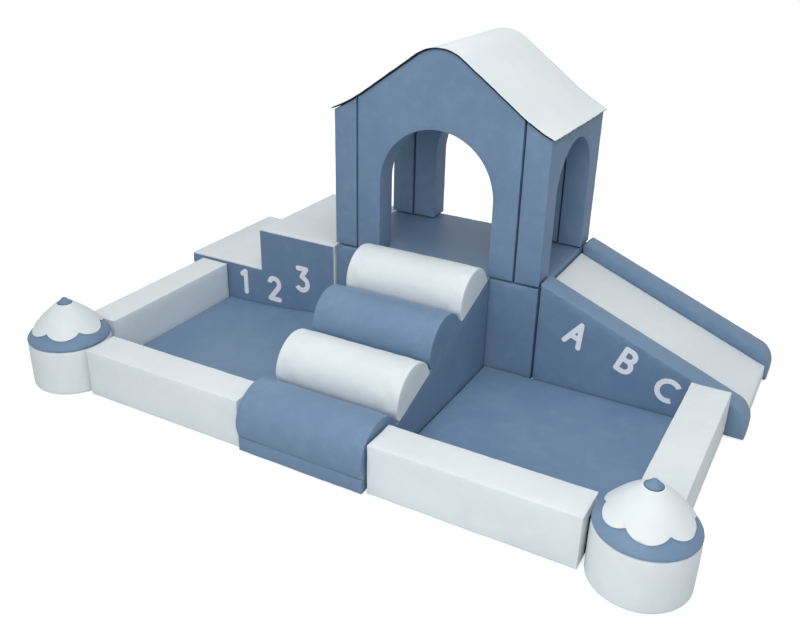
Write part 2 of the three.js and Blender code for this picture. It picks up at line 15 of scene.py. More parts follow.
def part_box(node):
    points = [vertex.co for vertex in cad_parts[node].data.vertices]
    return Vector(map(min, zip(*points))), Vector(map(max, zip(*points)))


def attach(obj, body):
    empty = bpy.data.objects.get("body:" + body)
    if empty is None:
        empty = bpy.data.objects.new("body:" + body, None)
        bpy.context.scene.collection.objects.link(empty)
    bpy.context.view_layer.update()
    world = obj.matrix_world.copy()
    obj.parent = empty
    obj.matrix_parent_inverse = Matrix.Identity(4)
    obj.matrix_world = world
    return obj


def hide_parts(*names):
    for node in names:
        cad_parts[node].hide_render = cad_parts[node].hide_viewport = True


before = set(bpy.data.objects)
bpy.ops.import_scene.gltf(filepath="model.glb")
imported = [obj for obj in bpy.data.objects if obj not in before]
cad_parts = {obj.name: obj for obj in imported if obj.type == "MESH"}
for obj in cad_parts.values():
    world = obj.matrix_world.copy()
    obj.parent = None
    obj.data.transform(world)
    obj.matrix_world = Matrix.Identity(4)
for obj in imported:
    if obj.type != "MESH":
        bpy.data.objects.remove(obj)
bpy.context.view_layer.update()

# Sizes that the pieces share with the model's source
HOUSE_FLOOR = 0.529
FRONT_ARCH_WIDTH, FRONT_ARCH_SPRING = 0.622, 0.912
SIDE_ARCH_WIDTH, SIDE_ARCH_SPRING = 0.492, 0.941
ROOF_SHEET = 0.012
ROOF_HALF_WIDTH, ROOF_HALF_DEPTH = 0.604, 0.3935
ROOF_CROWN = 0.220
ROOF_FLARE_START = 0.420
ROOF_PITCH, EAVE_PITCH = math.radians(35.5), math.radians(24)
EAVE_TOP = 1.267
SEAT_GAP = 0.0003
LOW_TREAD = 0.264
STEP_RISER = -1.111
RAIL_TOE = 0.144
CLIMBER_TOE, CLIMBER_HEAD = 0.075, 0.545
ROLLER_RISE = 0.163
BARE_SLOPE = 0.028
RAIL_SLOPE, RAIL_TOE_ROUND = 0.4006, 0.115
POST_RADIUS, CONE_HEIGHT, DRUM_TOP = 0.200, 0.214, 0.236

# Sizes of the covers alone
RAIL_HEAD, REAR_HEAD_ROUND = 0.567, 0.035
BED_HEAD = 0.511
SKIRT_TUCK, SKIRT_HEIGHT = 0.065, 0.056  # of a roller: a share of its width, and how high it starts
MAT_RISE, MAT_CORNER_Y = 0.042, -0.39
MAT_RISE_FROM, MAT_RISE_RUN = -1.33, 0.585
ROOF_PAD = 0.0065  # the sewn sheet, thinner than the room it lies in
CAP_NOTCH, CAP_LOBE, CAP_LOBES = 0.147, 0.169, 6
CAP_PAD = 0.0058
SKIN = 0.0006  # between a post's cone and the cap's cover

# How the covers are made
SEAM_ROUND = 0.008  # how far a sewn edge is rounded on each side
HOUSE_ROUND, WALL_ROUND, WEDGE_ROUND, RAIL_ROUND = 0.0045, 0.006, 0.010, 0.012
PANEL_GRID = 0.021  # the cells that a panel is cut into
SEAM_SINK = 0.0014  # how far a seam is pulled in below its panels
PUFF, THIN_PUFF = 0.003, 0.002  # how far a panel is blown up between its seams
SINK_REACH, PUFF_REACH = 0.012, 0.022  # how far from a seam its pull and the puff's lack are felt
FOLD_REACH, FOLD_SLOPE = 0.8, 0.35  # how far a seam may go in: a share of its radius, and more beside it
SEAM_STEP = 0.004  # between the points that a seam is kept as
SEAM_ROWS = (0.008, 0.014)  # rows laid beside a seam, each from the one before
SEAM_TURN = math.radians(27)  # an edge where the cover turns more than this is sewn
BASE_HOLD = 0.03  # how far above its base a cover comes free
AIR_FRAMES = 20
OVERRUN = 0.03  # of an opening's former below the walls' feet
AMBIENT = 0.52  # of the white room, as it lights the object


# Tools of the bench
def select_only(piece):
    for other in list(bpy.context.selected_objects):
        other.select_set(False)
    if piece is not None:
        piece.select_set(True)
        bpy.context.view_layer.objects.active = piece


@contextmanager
def editing(piece, parts="FACE"):
    """Edit mode on one piece, with nothing selected, and back"""
    select_only(piece)
    bpy.ops.object.mode_set(mode="EDIT")
    bpy.ops.mesh.select_mode(type=parts)
    bpy.ops.mesh.select_all(action="DESELECT")
    yield bmesh.from_edit_mesh(piece.data)
    bpy.ops.object.mode_set(mode="OBJECT")


def take_all():
    bpy.ops.mesh.select_all(action="SELECT")


def turn_faces_out():
    take_all()
    bpy.ops.mesh.normals_make_consistent(inside=False)


def choose(parts, wanted):
    for part in parts:
        if wanted(part):
            part.select_set(True)


def settle(piece):
    """The piece's place goes into its mesh, and its object to the origin"""
    select_only(piece)
    bpy.ops.object.transform_apply(location=True, rotation=True, scale=True)
    return piece


def named(piece, name):
    piece.name = name
    piece.data.name = name
    return piece


def apply_modifier(piece, modifier):
    select_only(piece)
    bpy.ops.object.modifier_apply(modifier=modifier.name)


def foam_block(name, low, high):
    """A block of foam between two corners"""
    low, high = Vector(low), Vector(high)
    select_only(None)
    bpy.ops.mesh.primitive_cube_add(size=1, location=(low + high) / 2)
    block = named(bpy.context.object, name)
    block.scale = high - low
    return settle(block)


def cut_away(piece, former, keep_former=False):
    cut = piece.modifiers.new("cut", "BOOLEAN")
    cut.operation = "DIFFERENCE"
    cut.solver = "EXACT"
    cut.object = former
    apply_modifier(piece, cut)
    if not keep_former:
        bpy.data.objects.remove(former)


def smooth_once(piece):
    smooth = piece.modifiers.new("smooth", "SUBSURF")
    smooth.levels = smooth.render_levels = 1
    apply_modifier(piece, smooth)


def near(value, target, reach=1e-4):
    return abs(value - target) < reach


# Formers that openings and roof lines are cut with
def arch_former(axis, width, spring, middle, length):
    """A solid in the shape of an arched opening, down past the walls' feet"""
    turn = (math.pi / 2, 0, 0) if axis == "y" else (0, math.pi / 2, 0)
    place = Vector(middle)
    place.z = spring
    select_only(None)
    bpy.ops.mesh.primitive_cylinder_add(
        vertices=96, radius=width / 2, depth=length, location=place, rotation=turn
    )
    former = settle(named(bpy.context.object, "arch_former"))
    with editing(former):
        take_all()
        bpy.ops.mesh.bisect(
            plane_co=(0, 0, spring), plane_no=(0, 0, 1), use_fill=True, clear_inner=True
        )
        bpy.ops.mesh.select_all(action="DESELECT")
        shape = bmesh.from_edit_mesh(former.data)
        choose(
            shape.faces,
            lambda face: near(face.calc_center_median().z, spring) and abs(face.normal.z) > 0.9,
        )
        drop = spring - HOUSE_FLOOR + OVERRUN
        bpy.ops.mesh.extrude_region_move(TRANSFORM_OT_translate={"value": (0, 0, -drop)})
        turn_faces_out()
    return former


def roof_half(name, depth, front, back, flare_steps):
    """The right half of the roof line as a strip, made as it is drawn: a spun crown, a straight slope
    and a spun flare. depth is measured square to the sheet's top."""
    flare_radius = (ROOF_HALF_WIDTH - ROOF_FLARE_START) / (math.sin(ROOF_PITCH) - math.sin(EAVE_PITCH))
    flare_x = ROOF_FLARE_START + flare_radius * math.sin(ROOF_PITCH)
    flare_z = EAVE_TOP + flare_radius * math.cos(EAVE_PITCH)
    slope_run = ROOF_FLARE_START - ROOF_CROWN * math.sin(ROOF_PITCH)
    slope_top = flare_z - flare_radius * math.cos(ROOF_PITCH) + slope_run * math.tan(ROOF_PITCH)
    crown_z = slope_top - ROOF_CROWN * math.cos(ROOF_PITCH)
    ridge = crown_z + ROOF_CROWN - depth
    select_only(None)
    bpy.ops.mesh.primitive_plane_add(size=1, location=(-0.5, (front + back) / 2, ridge))
    strip = named(bpy.context.object, name)
    strip.scale = (1, back - front, 1)
    settle(strip)
    with editing(strip, "VERT") as shape:
        choose(shape.verts, lambda vert: vert.co.x < -0.5)
        bpy.ops.mesh.delete(type="VERT")
        take_all()
        bpy.ops.mesh.spin(
            steps=12, angle=-ROOF_PITCH, center=(0, 0, crown_z), axis=(0, 1, 0), use_auto_merge=False
        )
        slope = slope_run / math.cos(ROOF_PITCH)
        steps = 12
        for _ in range(steps):
            step = (slope * math.cos(ROOF_PITCH) / steps, 0, -slope * math.sin(ROOF_PITCH) / steps)
            bpy.ops.mesh.extrude_region_move(TRANSFORM_OT_translate={"value": step})
        bpy.ops.mesh.spin(
            steps=flare_steps,
            angle=ROOF_PITCH - EAVE_PITCH,
            center=(flare_x, 0, flare_z),
            axis=(0, 1, 0),
            use_auto_merge=False,
        )
    return strip


def roof_whole(name, depth, front, back, flare_steps=12):
    strip = roof_half(name, depth, front, back, flare_steps)
    mirror = strip.modifiers.new("mirror", "MIRROR")
    mirror.use_clip = True
    mirror.merge_threshold = 1e-4
    apply_modifier(strip, mirror)
    with editing(strip):
        take_all()
        bpy.ops.mesh.remove_doubles(threshold=1e-5)
        turn_faces_out()
    return strip


def roof_former():
    """All the space above the walls' tops, with no facet's end near a wall's corner"""
    reach = 0.6  # well past the walls, and past what stands above their tops
    former = roof_whole("roof_former", ROOF_SHEET + SEAT_GAP, -reach, reach, flare_steps=3)
    with editing(former):
        take_all()
        bpy.ops.mesh.extrude_region_move(TRANSFORM_OT_translate={"value": (0, 0, reach)})
        turn_faces_out()
    return former


# Seams
def find_seams(piece, least_turn=SEAM_TURN):
    """Every run of sharp edges on a block, where two panels of its cover are sewn together, as points a
    few millimetres apart with how far along the run they are and how much the cover turns there"""
    shape = bmesh.new()
    shape.from_mesh(piece.data)
    shape.edges.ensure_lookup_table()
    left = {
        edge.index: edge
        for edge in shape.edges
        if len(edge.link_faces) == 2 and edge.calc_face_angle(0.0) > least_turn
    }

    def onward(vert, before):
        heading = (vert.co - before.co).normalized()
        for edge in sorted(vert.link_edges, key=lambda e: e.index):
            if edge.index in left:
                after = edge.other_vert(vert)
                if heading.dot((after.co - vert.co).normalized()) > 0.8:
                    return edge, after
        return None, None

    rows = []
    run_start = 0.0
    while left:
        _, edge = left.popitem()
        verts, turns = [edge.verts[0], edge.verts[1]], [edge.calc_face_angle()]
        for _ in range(2):
            while True:
                edge, after = onward(verts[-1], verts[-2])
                if edge is None:
                    break
                left.pop(edge.index)
                verts.append(after)
                turns.append(edge.calc_face_angle())
            verts.reverse()
            turns.reverse()
        closed = verts[0] == verts[-1]
        places = np.array([vert.co for vert in verts])
        lengths = np.linalg.norm(np.diff(places, axis=0), axis=1)
        reach = np.concatenate([[0], np.cumsum(lengths)])
        count = max(2, int(math.ceil(reach[-1] / SEAM_STEP)) + 1)
        along = np.linspace(0, reach[-1], count)
        spots = np.stack([np.interp(along, reach, places[:, k]) for k in range(3)], axis=1)
        here = np.clip(np.searchsorted(reach, along, side="right") - 1, 0, len(turns) - 1)
        to_end = np.full(count, 1.0) if closed else np.minimum(along, reach[-1] - along)
        before, after = np.roll(spots, 1, axis=0), np.roll(spots, -1, axis=0)
        before[0], after[-1] = spots[0], spots[-1]
        rows.append((spots, before, after, along + run_start, np.array(turns)[here], to_end))
        run_start += reach[-1] + 0.37
    shape.free()
    spots, before, after, along, turns, to_end = (np.concatenate(column) for column in zip(*rows))
    tree = KDTree(len(spots))
    for i, spot in enumerate(spots):
        tree.insert(spot, i)
    tree.balance()
    return {
        "spots": spots, "before": before, "after": after, "along": along, "turns": turns,
        "to_end": to_end, "tree": tree,
    }


def reach_to(points, start, end):
    """Each point's distance to its own stretch of seam, and how far along that stretch it is"""
    run = end - start
    length = np.maximum(np.linalg.norm(run, axis=1), 1e-9)
    share = np.clip(np.sum((points - start) * run, axis=1) / length**2, 0, 1)
    return np.linalg.norm(points - (start + run * share[:, None]), axis=1), share * length


def from_seams(points, seams, round_over):
    """For each point: how far over the cover it is from the middle of the nearest seam, how far along
    that seam, how far that place is from the seam's end, and how round the seam is"""
    nearest = np.array([seams["tree"].find(point)[1] for point in points])
    spot = seams["spots"][nearest]
    to_after, share_after = reach_to(points, spot, seams["after"][nearest])
    to_before, share_before = reach_to(points, spot, seams["before"][nearest])
    away = np.minimum(to_after, to_before)
    step = np.where(to_after <= to_before, share_after, -share_before)
    along = seams["along"][nearest] + step
    half = (math.pi - seams["turns"][nearest]) / 2
    radius = round_over * np.tan(half)
    crest = radius * (1 / np.sin(half) - 1)
    arc = radius * (math.pi / 2 - half)
    share = np.clip((away - crest) / np.maximum(round_over - crest, 1e-6), 0, None)
    over = np.where(share < 1, share * arc, arc + away - round_over)
    return over, along, seams["to_end"][nearest], radius


def wander(values, length, seed):
    """Smooth chance values from -1 to 1 along a line"""
    chance = np.random.default_rng(seed).uniform(-1, 1, 4096)
    place = values / length
    cell = np.floor(place).astype(int)
    share = place - cell
    share = share * share * (3 - 2 * share)
    return chance[cell % 4096] * (1 - share) + chance[(cell + 1) % 4096] * share


# Covers
def mesh_points(piece):
    points = np.empty(len(piece.data.vertices) * 3)
    piece.data.vertices.foreach_get("co", points)
    return points.reshape(-1, 3)


def set_points(piece, points):
    piece.data.vertices.foreach_set("co", np.ascontiguousarray(points, float).ravel())
    piece.data.update()


def mesh_normals(piece):
    normals = np.empty(len(piece.data.vertices) * 3)
    piece.data.vertices.foreach_get("normal", normals)
    return normals.reshape(-1, 3)


def round_seams(piece, round_over, least_turn=SEAM_TURN, segments=4, rows_on=lambda face: True,
                rows=SEAM_ROWS):
    """Rounds the sewn edges and lays rows beside them over each panel"""
    piece.data.materials.clear()
    for slot_name in ("panel", "seam"):
        piece.data.materials.append(bpy.data.materials.get(slot_name) or bpy.data.materials.new(slot_name))
    with editing(piece, "EDGE") as shape:
        choose(
            shape.edges,
            lambda edge: edge.smooth and len(edge.link_faces) == 2 and edge.calc_face_angle(0.0) > least_turn,
        )
        bpy.ops.mesh.bevel(
            offset=round_over, offset_type="OFFSET", segments=segments, profile=0.5, affect="EDGES",
            material=1,
        )
    with editing(piece) as shape:
        choose(shape.faces, lambda face: face.material_index == 0 and rows_on(face))
        for row in rows:
            bpy.ops.mesh.inset(thickness=row, depth=0, use_boundary=True, use_even_offset=False)
    for face in piece.data.polygons:
        face.material_index = 0
    piece.data.materials.clear()


def cut_grid(piece, axes="xyz", grid=PANEL_GRID):
    """Cuts the cover into cells by planes across the given axes"""
    low, high = mesh_points(piece).min(0), mesh_points(piece).max(0)
    with editing(piece):
        for axis in axes:
            k = "xyz".index(axis)
            count = max(1, round((high[k] - low[k]) / grid))
            for i in range(1, count):
                place, square = [0, 0, 0], [0, 0, 0]
                place[k] = low[k] + (high[k] - low[k]) * i / count + 1.3e-4
                square[k] = 1
                take_all()
                bpy.ops.mesh.bisect(plane_co=place, plane_no=square)


covers = []  # each cover with its seams, until it is blown up and finished
shelf = []  # finished pieces, kept out of the scene while others are made


def put_on_shelf(piece):
    for collection in list(piece.users_collection):
        collection.objects.unlink(piece)
    shelf.append(piece)


def clear_shelf():
    for piece in shelf:
        bpy.context.scene.collection.objects.link(piece)


def sew_cover(piece, node, body, finish, round_over=SEAM_ROUND, axes="xyz", puff=PUFF, grid=PANEL_GRID,
              fill=0.95, base=None, rows_on=lambda face: True, rows=SEAM_ROWS, lift=None, room=0.0):
    """Turns a shaped block into the sewn cover that stands for a node. A base is a place on the plane that
    the cover is sewn down to, and the way up from it: there the cover stays put. Lift says how far each
    point of the finished cover rises, and room how far it may stand above its node's box."""
    seams = find_seams(piece)
    round_seams(piece, round_over, rows_on=rows_on, rows=rows)
    cut_grid(piece, axes, grid)
    covers.append({
        "piece": piece, "node": node, "body": body, "finish": finish, "seams": seams,
        "round_over": round_over, "puff": puff, "fill": fill, "base": base, "lift": lift, "room": room,
    })


def free_share(cover, points):
    """How freely each point may leave its place, from 0 on the base to 1"""
    if cover["base"] is None:
        return np.ones(len(points))
    place, up = cover["base"]
    return np.clip(((points - np.array(place)) @ np.array(up)) / BASE_HOLD, 0, 1)


def fold_limit(over, radius):
    """How far each point may be drawn in before the cover folds over itself at its seam"""
    return FOLD_REACH * radius + FOLD_SLOPE * np.maximum(over - FOLD_REACH * radius, 0)


def seam_sink(cover, over):
    """How far the seams hold a blown-up cover down"""
    return SEAM_SINK * np.exp(-over / SINK_REACH) + cover["puff"] * np.exp(-over / PUFF_REACH)


def draw_in(cover):
    """A panel starts below its blown-up height, and its seams further below"""
    piece = cover["piece"]
    points, normals = mesh_points(piece), mesh_normals(piece)
    over, _, _, radius = from_seams(points, cover["seams"], cover["round_over"])
    sink = seam_sink(cover, over)
    sink += cover["puff"] * (1 - np.exp(-over / PUFF_REACH))
    sink = np.minimum(sink, fold_limit(over, radius)) * free_share(cover, points)
    set_points(piece, points - normals * sink[:, None])
    cover["over"] = over


def blow_up(all_covers):
    """Blows every cover up at once, held at its seams, and caps how far each point moves"""
    scene = bpy.context.scene
    blown = [cover for cover in all_covers if cover["puff"] > 0]
    for cover in blown:
        piece = cover["piece"]
        held = piece.vertex_groups.new(name="held_by_seams")
        at_seam = np.clip(1.6 - cover["over"] / 0.008, 0, 1)
        hold = np.maximum(at_seam, 1 - free_share(cover, mesh_points(piece)))
        for i in np.nonzero(hold)[0]:
            held.add([int(i)], float(hold[i]), "REPLACE")
        air = piece.modifiers.new("air", "CLOTH")
        air.settings.quality = 4
        air.settings.mass = 0.4
        air.settings.tension_stiffness = 30
        air.settings.compression_stiffness = 30
        air.settings.shear_stiffness = 12
        air.settings.bending_stiffness = 0.8
        air.settings.use_pressure = True
        air.settings.uniform_pressure_force = 4
        air.settings.shrink_min = -0.006
        air.settings.vertex_group_mass = held.name
        air.settings.effector_weights.gravity = 0
        air.collision_settings.use_collision = False
        air.collision_settings.use_self_collision = False
        air.point_cache.frame_start = 1
        air.point_cache.frame_end = AIR_FRAMES
    for frame_number in range(1, AIR_FRAMES + 1):
        scene.frame_set(frame_number)
    ready = bpy.context.evaluated_depsgraph_get()
    for cover in blown:
        piece = cover["piece"]
        mesh = piece.evaluated_get(ready).to_mesh()
        after = np.empty(len(mesh.vertices) * 3)
        mesh.vertices.foreach_get("co", after)
        piece.evaluated_get(ready).to_mesh_clear()
        start = mesh_points(piece)
        moved = after.reshape(-1, 3) - start
        moved[~np.isfinite(moved).all(1)] = 0
        length = np.maximum(np.linalg.norm(moved, axis=1), 1e-9)
        cap = cover["puff"]
        moved *= (cap * np.tanh(length / cap) / length)[:, None]
        piece.modifiers.remove(piece.modifiers["air"])
        piece.vertex_groups.remove(piece.vertex_groups["held_by_seams"])
        cover["moved"] = moved
    scene.frame_set(1)
    for cover in blown:
        set_points(cover["piece"], mesh_points(cover["piece"]) + cover.pop("moved"))


def dress(piece, finish, over, along, pull):
    """Shades a piece smooth in its finish, with the measures that the vinyl reads"""
    for name, values in (("seam_over", over), ("seam_along", along), ("seam_pull", pull)):
        measure = piece.data.attributes.new(name, "FLOAT", "POINT")
        measure.data.foreach_set("value", values.astype(np.float32))
    select_only(piece)
    bpy.ops.object.shade_smooth()
    piece.data.materials.clear()
    piece.data.materials.append(finish)


def finish_cover(cover, seed):
    """One subdivision, the seams' ripples, and its finish"""
    piece = cover["piece"]
    smooth_once(piece)
    points, normals = mesh_points(piece), mesh_normals(piece)
    over, along, to_end, radius = from_seams(points, cover["seams"], cover["round_over"])
    pull = np.exp(-np.maximum(over - 0.004, 0) / 0.02) * np.clip(to_end / 0.045, 0, 1)
    ripple = wander(along, 0.034, seed) * 0.0006 + wander(along, 0.081, seed + 1) * 0.0007
    sway = np.array([noise.noise(Vector(point) * 3.1 + Vector((seed, 0, 0))) for point in points])
    low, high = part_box(cover["node"])
    depth = pull * (0.0009 + ripple) + 0.0007 * (0.5 + 0.5 * sway)
    spare = np.maximum(fold_limit(over, radius) - seam_sink(cover, over), 0)
    depth = np.minimum(depth, np.minimum(spare, 0.15 * min(high - low))) * free_share(cover, points)
    points = points - normals * depth[:, None]
    points = np.clip(points, np.array(low), np.array(high) + (0, 0, cover["room"]))
    if cover["lift"]:
        points[:, 2] += cover["lift"](points)
    set_points(piece, points)
    dress(piece, cover["finish"], over, along, pull)
    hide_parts(cover["node"])
    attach(piece, cover["body"])
    put_on_shelf(piece)


# Finishes
class Nodes:
    """Adds nodes to a material's tree and links them"""

    def __init__(self, tree):
        self.tree = tree

    def add(self, kind, **inputs):
        node = self.tree.nodes.new("ShaderNode" + kind)
        for name, value in inputs.items():
            if name[0].islower():
                setattr(node, name, value)
        for name, value in inputs.items():
            if not name[0].islower():
                socket = node.inputs[name.replace("_", " ")]
                if isinstance(value, bpy.types.NodeSocket):
                    self.tree.links.new(value, socket)
                else:
                    socket.default_value = value
        return node

    def math(self, operation, first, second=0.0, third=None, clamp=False):
        node = self.tree.nodes.new("ShaderNodeMath")
        node.operation = operation
        node.use_clamp = clamp
        for i, value in enumerate((first, second, third)):
            if value is None:
                continue
            if isinstance(value, bpy.types.NodeSocket):
                self.tree.links.new(value, node.inputs[i])
            else:
                node.inputs[i].default_value = value
        return node.outputs[0]

    def span(self, value, from_low, from_high, to_low=0.0, to_high=1.0):
        node = self.tree.nodes.new("ShaderNodeMapRange")
        node.interpolation_type = "SMOOTHSTEP"
        self.tree.links.new(value, node.inputs["Value"])
        for name, number in (
            ("From Min", from_low), ("From Max", from_high), ("To Min", to_low), ("To Max", to_high),
        ):
            node.inputs[name].default_value = number
        return node.outputs["Result"]

    def blend(self, share, first, second, kind="MIX"):
        node = self.tree.nodes.new("ShaderNodeMix")
        node.data_type = "RGBA"
        node.blend_type = kind
        for socket, value in ((node.inputs[0], share), (node.inputs[6], first), (node.inputs[7], second)):
            if isinstance(value, bpy.types.NodeSocket):
                self.tree.links.new(value, socket)
            else:
                socket.default_value = value
        return node.outputs[2]

    def bump(self, height, distance, strength=1.0, normal=None):
        node = self.tree.nodes.new("ShaderNodeBump")
        self.tree.links.new(height, node.inputs["Height"])
        node.inputs["Distance"].default_value = distance
        node.inputs["Strength"].default_value = strength
        if normal is not None:
            self.tree.links.new(normal, node.inputs["Normal"])
        return node.outputs["Normal"]

    def attribute(self, name):
        node = self.tree.nodes.new("ShaderNodeAttribute")
        node.attribute_name = name
        return node.outputs["Fac"]


def linear(red, green, blue):
    """An sRGB colour of 0 to 255 as the shader wants it"""
    def one(value):
        value /= 255
        return value / 12.92 if value <= 0.04045 else ((value + 0.055) / 1.055) ** 2.4
    return (one(red), one(green), one(blue), 1)


def new_material(name, slot):
    material = bpy.data.materials.new(name)
    material.use_nodes = True
    material.node_tree.nodes.clear()
    material["slot"] = slot
    nodes = Nodes(material.node_tree)
    skin = nodes.add("BsdfPrincipled")
    output = nodes.add("OutputMaterial")
    material.node_tree.links.new(skin.outputs[0], output.inputs["Surface"])
    return material, nodes, skin


def sewn_vinyl(name, slot, colour, worn_and_highlit, deep, roughness=0.47, sewn=True):
    """Coated vinyl on foam: a fine pressed grain, soft hollows, and a creased seam whose crest is lighter,
    partly wear and partly a painted highlight, with painted shade in its crease
    """
    material, nodes, skin = new_material(name, slot)
    place = nodes.add("TexCoord").outputs["Object"]
    link = material.node_tree.links.new
    cloud = nodes.add("TexNoise", Vector=place, Scale=2.3, Detail=3.0, Roughness=0.55).outputs["Fac"]
    patch = nodes.add("TexNoise", Vector=place, Scale=17.0, Detail=4.0, Roughness=0.6).outputs["Fac"]
    grain = nodes.add("TexVoronoi", feature="SMOOTH_F1", Vector=place, Scale=620.0).outputs["Distance"]
    fleck = nodes.add("TexNoise", Vector=place, Scale=1500.0, Detail=2.0).outputs["Fac"]
    tint = nodes.blend(nodes.span(cloud, 0.35, 0.65), colour, deep)
    tint = nodes.blend(nodes.math("MULTIPLY", nodes.span(patch, 0.42, 0.72), 0.18), tint, worn_and_highlit)
    tint = nodes.blend(nodes.math("MULTIPLY", nodes.span(fleck, 0.3, 0.8), 0.10), tint, deep)
    rough = nodes.span(patch, 0.25, 0.75, roughness - 0.05, roughness + 0.07)
    height = nodes.math("ADD", nodes.math("MULTIPLY", grain, 1.0), nodes.math("MULTIPLY", fleck, 0.35))
    normal = nodes.bump(height, 0.00022, 0.55)
    hollow = nodes.add("TexNoise", Vector=place, Scale=7.5, Detail=2.0, Roughness=0.5).outputs["Fac"]
    normal = nodes.bump(hollow, 0.0035, 0.35, normal)
    if sewn:
        over, along, pull = (nodes.attribute(a) for a in ("seam_over", "seam_along", "seam_pull"))
        # The seam's crest is made lighter: partly wear, partly a painted highlight of the rounded edge
        # catching the light
        uneven = nodes.span(patch, 0.3, 0.6, 0.35, 1.0)
        wear_and_highlight = nodes.math("MULTIPLY", nodes.span(over, 0.0065, 0.001), uneven)
        tint = nodes.blend(nodes.math("MULTIPLY", wear_and_highlight, 0.55), tint, worn_and_highlit)
        # Painted shade: the seam's crease is darkened toward the deeper tone, as shade would fall in it
        crease = nodes.span(over, 0.0011, 0.0003)
        tint = nodes.blend(nodes.math("MULTIPLY", crease, 0.35), tint, deep)
        rough = nodes.math("ADD", rough, nodes.math("MULTIPLY", wear_and_highlight, 0.06))
        pucker = nodes.add("TexNoise", noise_dimensions="1D", W=along, Scale=62.0, Detail=1.5).outputs["Fac"]
        pucker = nodes.math("MULTIPLY", pucker, pull)
        normal = nodes.bump(pucker, 0.0016, 0.6, normal)
        normal = nodes.bump(nodes.span(over, 0.0, 0.0016), 0.0007, 0.8, normal)
    link(tint, skin.inputs["Base Color"])
    link(rough, skin.inputs["Roughness"])
    link(normal, skin.inputs["Normal"])
    skin.inputs["Specular IOR Level"].default_value = 0.26
    return material


BLUE, BLUE_WORN_AND_HIGHLIT, BLUE_DEEP = linear(114, 140, 168), linear(140, 163, 188), linear(108, 134, 163)
WHITE, WHITE_WORN_AND_HIGHLIT, WHITE_DEEP = linear(223, 231, 233), linear(234, 241, 242), linear(217, 226, 229)
blue_vinyl = sewn_vinyl("dusty_blue_vinyl", "vinyl_blue", BLUE, BLUE_WORN_AND_HIGHLIT, BLUE_DEEP)
white_vinyl = sewn_vinyl("cool_white_vinyl", "vinyl_white", WHITE, WHITE_WORN_AND_HIGHLIT, WHITE_DEEP)
mark_vinyl = sewn_vinyl("sewn_mark_vinyl", "vinyl_white", linear(248, 250, 255), WHITE_WORN_AND_HIGHLIT,
                        linear(240, 243, 251), sewn=False)


def hook_and_loop():
    """Dark brushed tape with a fine nap in rows"""
    material, nodes, skin = new_material("hook_and_loop_tape", "grip_strip")
    place = nodes.add("TexCoord").outputs["Object"]
    nap = nodes.add("TexNoise", Vector=place, Scale=900.0, Detail=3.0).outputs["Fac"]
    rows = nodes.add("TexVoronoi", Vector=place, Scale=480.0).outputs["Distance"]
    tint = nodes.blend(nodes.span(nap, 0.3, 0.7), linear(40, 46, 58), linear(62, 69, 84))
    material.node_tree.links.new(tint, skin.inputs["Base Color"])
    material.node_tree.links.new(nodes.bump(nodes.math("ADD", nap, rows), 0.0006, 0.8), skin.inputs["Normal"])
    skin.inputs["Roughness"].default_value = 0.95
    return material


grip_tape = hook_and_loop()


def dark_underside_finish():
    """A dark finish for the roof sheet's underside and edge band, with a fine crossed bump"""
    material, nodes, skin = new_material("dark_roof_underside", "grip_strip")
    place = nodes.add("TexCoord").outputs["Object"]
    thread = nodes.add("TexWave", Vector=place, wave_type="BANDS", bands_direction="X", Scale=260.0,
                       Distortion=1.5).outputs["Fac"]
    weft = nodes.add("TexWave", Vector=place, wave_type="BANDS", bands_direction="Y", Scale=260.0,
                     Distortion=1.5).outputs["Fac"]
    cloud = nodes.add("TexNoise", Vector=place, Scale=9.0, Detail=3.0).outputs["Fac"]
    tint = nodes.blend(nodes.span(cloud, 0.3, 0.7), linear(46, 54, 70), linear(58, 68, 86))
    material.node_tree.links.new(tint, skin.inputs["Base Color"])
    weave = nodes.math("ADD", thread, weft)
    material.node_tree.links.new(nodes.bump(weave, 0.0003, 0.6), skin.inputs["Normal"])
    skin.inputs["Roughness"].default_value = 0.85
    return material


roof_underside_finish = dark_underside_finish()


# The modules
def make_platform():
    block = foam_block("platform_cover", *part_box("platform_block"))
    sew_cover(block, "platform_block", "platform", blue_vinyl)


def make_house():
    above = roof_former()
    panel_top, wall_top = 1.75, 1.55  # of the blocks, before the roof line is cut
    through = 0.3
    for node in ("house_front_panel", "house_rear_panel"):
        low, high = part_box(node)
        panel = foam_block(node.replace("house_", "") + "_cover", low, (high.x, high.y, panel_top))
        cut_away(panel, above, keep_former=True)
        middle = (0, (low.y + high.y) / 2, 0)
        cut_away(panel, arch_former("y", FRONT_ARCH_WIDTH, FRONT_ARCH_SPRING, middle, through))
        sew_cover(panel, node, "house", blue_vinyl, round_over=HOUSE_ROUND, puff=THIN_PUFF)
    for node in ("house_left_wall", "house_right_wall"):
        low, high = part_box(node)
        wall = foam_block(node.replace("house_", "") + "_cover", low, (high.x, high.y, wall_top))
        cut_away(wall, above, keep_former=True)
        middle = ((low.x + high.x) / 2, 0, 0)
        cut_away(wall, arch_former("x", SIDE_ARCH_WIDTH, SIDE_ARCH_SPRING, middle, through))
        sew_cover(wall, node, "house", blue_vinyl, round_over=HOUSE_ROUND, puff=THIN_PUFF,
                  rows_on=lambda face: abs(face.normal.x) > 0.9)
    bpy.data.objects.remove(above)


